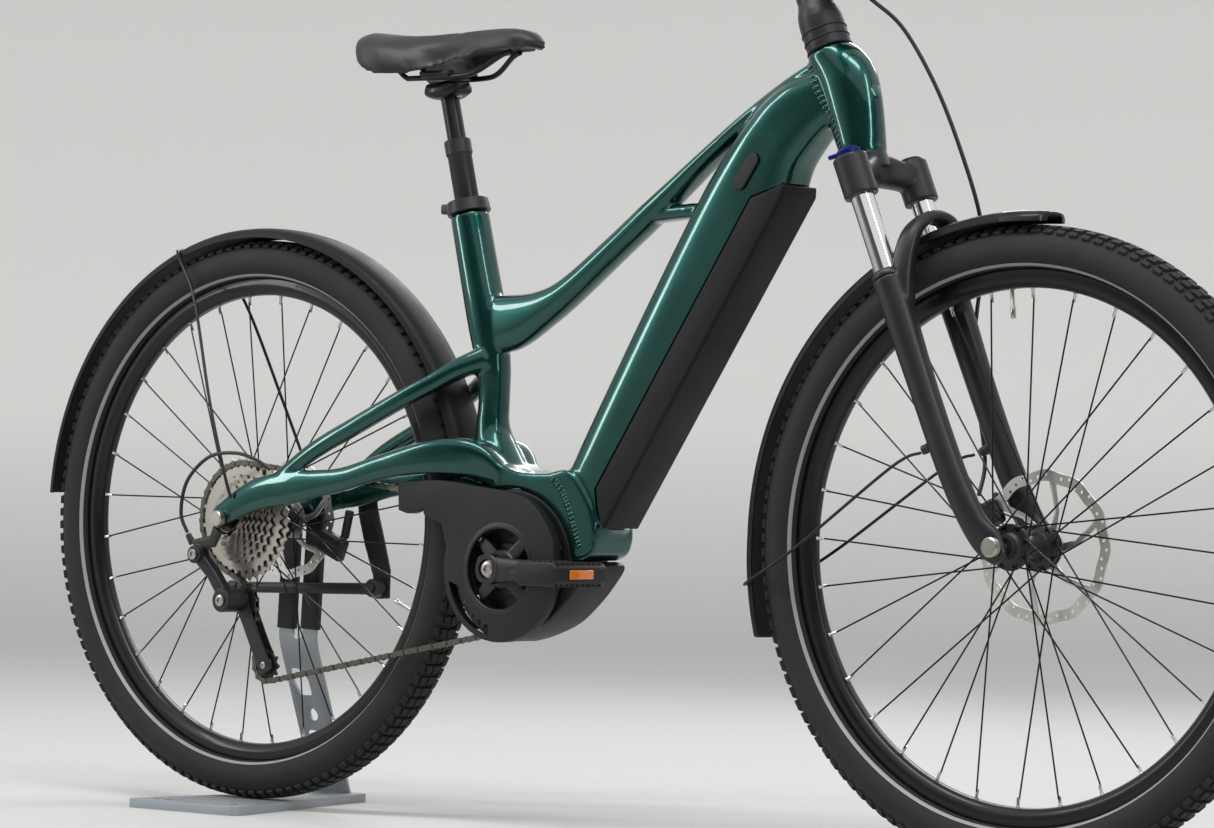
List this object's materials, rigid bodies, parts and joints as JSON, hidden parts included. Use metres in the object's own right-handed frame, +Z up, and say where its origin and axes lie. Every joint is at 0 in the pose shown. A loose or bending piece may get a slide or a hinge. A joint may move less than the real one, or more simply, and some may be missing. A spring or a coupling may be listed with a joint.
{
  "type": "bicycle on display stand",
  "caption": "Electric trekking bicycle with hub-height display stand: turning wheels, cranks and bars, sprung fork and seat post, hinged battery, levers and kickstand.",
  "frame": {"origin": "on the ground, under the middle of the bounding box", "axes": "+X towards the front wheel, +Y to the rider's left, +Z up"},
  "size_m": [1.9638, 0.709, 1.1183],
  "materials": {
    "alloy_black": "anodised black",
    "black_plastic": "matte black",
    "black_satin": "satin black",
    "blue_knob": "anodised blue",
    "chrome": "polished",
    "grey_plastic": "grey",
    "rubber": "matte black",
    "steel": "brushed",
    "teal_paint": "glossy metallic dark teal-green",
    "tyre_rubber": "black with a light stripe",
    "zinc": "grey-silver"
  },
  "bodies": {
    "stand": {"stand_plate": "zinc", "stand_sleeve_front": "rubber", "stand_sleeve_rear": "rubber"},
    "bike_frame": {"main_frame": "teal_paint", "seat_collar": "alloy_black", "seatpost_outer": "alloy_black", "motor_housing": "alloy_black", "chain_guard": "black_plastic", "rear_fender": "black_plastic", "rear_axle": "steel", "derailleur": "black_satin", "chain": "steel", "rear_caliper": "black_satin", "kickstand_bracket": "alloy_black", "shift_cable": "rubber"},
    "battery": {"battery_pack": "black_plastic", "battery_cover": "black_plastic"},
    "charge_flap": {"charge_port_cap": "rubber"},
    "kickstand": {"kickstand_leg": "alloy_black"},
    "seat": {"seatpost_inner": "alloy_black", "saddle_rails": "black_satin", "saddle_shell": "black_plastic", "saddle_cover": "black_satin"},
    "crank": {"crank_axle": "steel", "crank_arm_right": "alloy_black", "crank_arm_left": "alloy_black", "chainring": "alloy_black"},
    "right_pedal": {"pedal_right": "black_plastic"},
    "left_pedal": {"pedal_left": "black_plastic"},
    "rear_wheel": {"rear_tyre": "tyre_rubber", "rear_rim": "alloy_black", "rear_hub_and_spokes": "black_satin", "rear_rotor": "steel"},
    "cassette_body": {"cassette": "steel"},
    "guide_wheel": {"guide_pulley": "black_plastic"},
    "tension_wheel": {"tension_pulley": "black_plastic"},
    "steering": {"fork_crown": "alloy_black", "stanchion_right": "chrome", "stanchion_left": "chrome", "stem": "alloy_black", "handlebar": "alloy_black", "grip_right": "rubber", "grip_left": "rubber", "display": "black_plastic", "lever_mount_right": "black_satin", "lever_mount_left": "black_satin"},
    "right_brake": {"brake_lever_right": "black_satin"},
    "left_brake": {"brake_lever_left": "black_satin"},
    "shifter": {"shift_lever": "black_plastic"},
    "assist_switch": {"assist_button": "grey_plastic"},
    "lockout": {"lockout_knob": "blue_knob"},
    "fork_lower": {"fork_lowers": "alloy_black", "front_axle": "black_satin", "front_caliper": "black_satin", "front_fender": "black_plastic", "front_brake_hose": "rubber"},
    "front_wheel": {"front_tyre": "tyre_rubber", "front_rim": "alloy_black", "front_hub_and_spokes": "black_satin", "front_rotor": "steel"}
  },
  "joints": [
    {"name": "lift_off_stand", "type": "slide", "parent": "stand", "child": "bike_frame", "axis": [0, 0, 1], "range_m": [0, 0.15]},
    {"name": "battery_tilt", "type": "hinge", "parent": "bike_frame", "child": "battery", "pos_m": [0.01443, 0, 0.37855], "axis": [0, 1, 0], "range_deg": [0, 6]},
    {"name": "charge_flap_hinge", "type": "hinge", "parent": "bike_frame", "child": "charge_flap", "pos_m": [0.2135, -0.035, 0.78748], "axis": [0.7975, 0, -0.6033], "range_deg": [0, 90]},
    {"name": "kickstand_hinge", "type": "hinge", "parent": "bike_frame", "child": "kickstand", "pos_m": [-0.44993, 0.063, 0.29252], "axis": [0, -1, 0], "range_deg": [0, 80]},
    {"name": "seatpost_travel", "type": "slide", "parent": "bike_frame", "child": "seat", "axis": [0.2408, 0, -0.9706], "range_m": [0, 0.04], "stiffness_N_per_m": 20000, "springref_m": -0.003},
    {"name": "crank_spin", "type": "hinge", "parent": "bike_frame", "child": "crank", "pos_m": [-0.13059, 0, 0.32536], "axis": [0, 1, 0], "continuous": true},
    {"name": "pedal_right_spin", "type": "hinge", "parent": "crank", "child": "right_pedal", "pos_m": [0.0394, -0.09, 0.32368], "axis": [0, 1, 0], "continuous": true},
    {"name": "pedal_left_spin", "type": "hinge", "parent": "crank", "child": "left_pedal", "pos_m": [-0.30058, 0.09, 0.32704], "axis": [0, 1, 0], "continuous": true},
    {"name": "rear_wheel_spin", "type": "hinge", "parent": "bike_frame", "child": "rear_wheel", "pos_m": [-0.59907, 0, 0.38], "axis": [0, 1, 0], "continuous": true},
    {"name": "cassette_spin", "type": "hinge", "parent": "bike_frame", "child": "cassette_body", "pos_m": [-0.59907, 0, 0.38], "axis": [0, 1, 0], "continuous": true},
    {"name": "guide_pulley_spin", "type": "hinge", "parent": "bike_frame", "child": "guide_wheel", "pos_m": [-0.59413, -0.034, 0.27295], "axis": [0, 1, 0], "continuous": true},
    {"name": "tension_pulley_spin", "type": "hinge", "parent": "bike_frame", "child": "tension_wheel", "pos_m": [-0.54895, -0.034, 0.18949], "axis": [0, 1, 0], "continuous": true},
    {"name": "steering_turn", "type": "hinge", "parent": "bike_frame", "child": "steering", "pos_m": [0.37422, 0, 0.83055], "axis": [-0.3816, 0, 0.9243], "range_deg": [-60, 60]},
    {"name": "brake_right_pull", "type": "hinge", "parent": "steering", "child": "right_brake", "pos_m": [0.38869, -0.188, 1.06804], "axis": [-0.0979, 0, -0.9952], "range_deg": [0, 16], "stiffness_Nm_per_rad": 0.6, "springref_deg": -11.46},
    {"name": "brake_left_pull", "type": "hinge", "parent": "steering", "child": "left_brake", "pos_m": [0.38869, 0.188, 1.06804], "axis": [0.0979, 0, 0.9952], "range_deg": [0, 16], "stiffness_Nm_per_rad": 0.6, "springref_deg": -11.46},
    {"name": "shift_push", "type": "hinge", "parent": "steering", "child": "shifter", "pos_m": [0.37822, -0.168, 1.041], "axis": [-0.3816, 0, 0.9243], "range_deg": [0, 20], "stiffness_Nm_per_rad": 0.2, "springref_deg": -11.46},
    {"name": "assist_press", "type": "slide", "parent": "steering", "child": "assist_switch", "axis": [1, 0, -0.0099], "range_m": [0, 0.001], "stiffness_N_per_m": 1500, "springref_m": -0.0005},
    {"name": "lockout_turn", "type": "hinge", "parent": "steering", "child": "lockout", "pos_m": [0.39857, -0.06, 0.82005], "axis": [-0.3816, 0, 0.9243], "range_deg": [0, 90]},
    {"name": "suspension_travel", "type": "slide", "parent": "steering", "child": "fork_lower", "axis": [-0.3816, 0, 0.9243], "range_m": [0, 0.063], "stiffness_N_per_m": 9000, "springref_m": -0.008, "deforming": ["front_brake_hose"]},
    {"name": "front_wheel_spin", "type": "hinge", "parent": "fork_lower", "child": "front_wheel", "pos_m": [0.61387, 0, 0.368], "axis": [0, 1, 0], "continuous": true}
  ],
  "couplings": [
    {"joint": "cassette_spin", "follows": "crank_spin", "ratio": 1.0405},
    {"joint": "guide_pulley_spin", "follows": "crank_spin", "ratio": -3.6667},
    {"joint": "tension_pulley_spin", "follows": "crank_spin", "ratio": 3.6667}
  ]
}
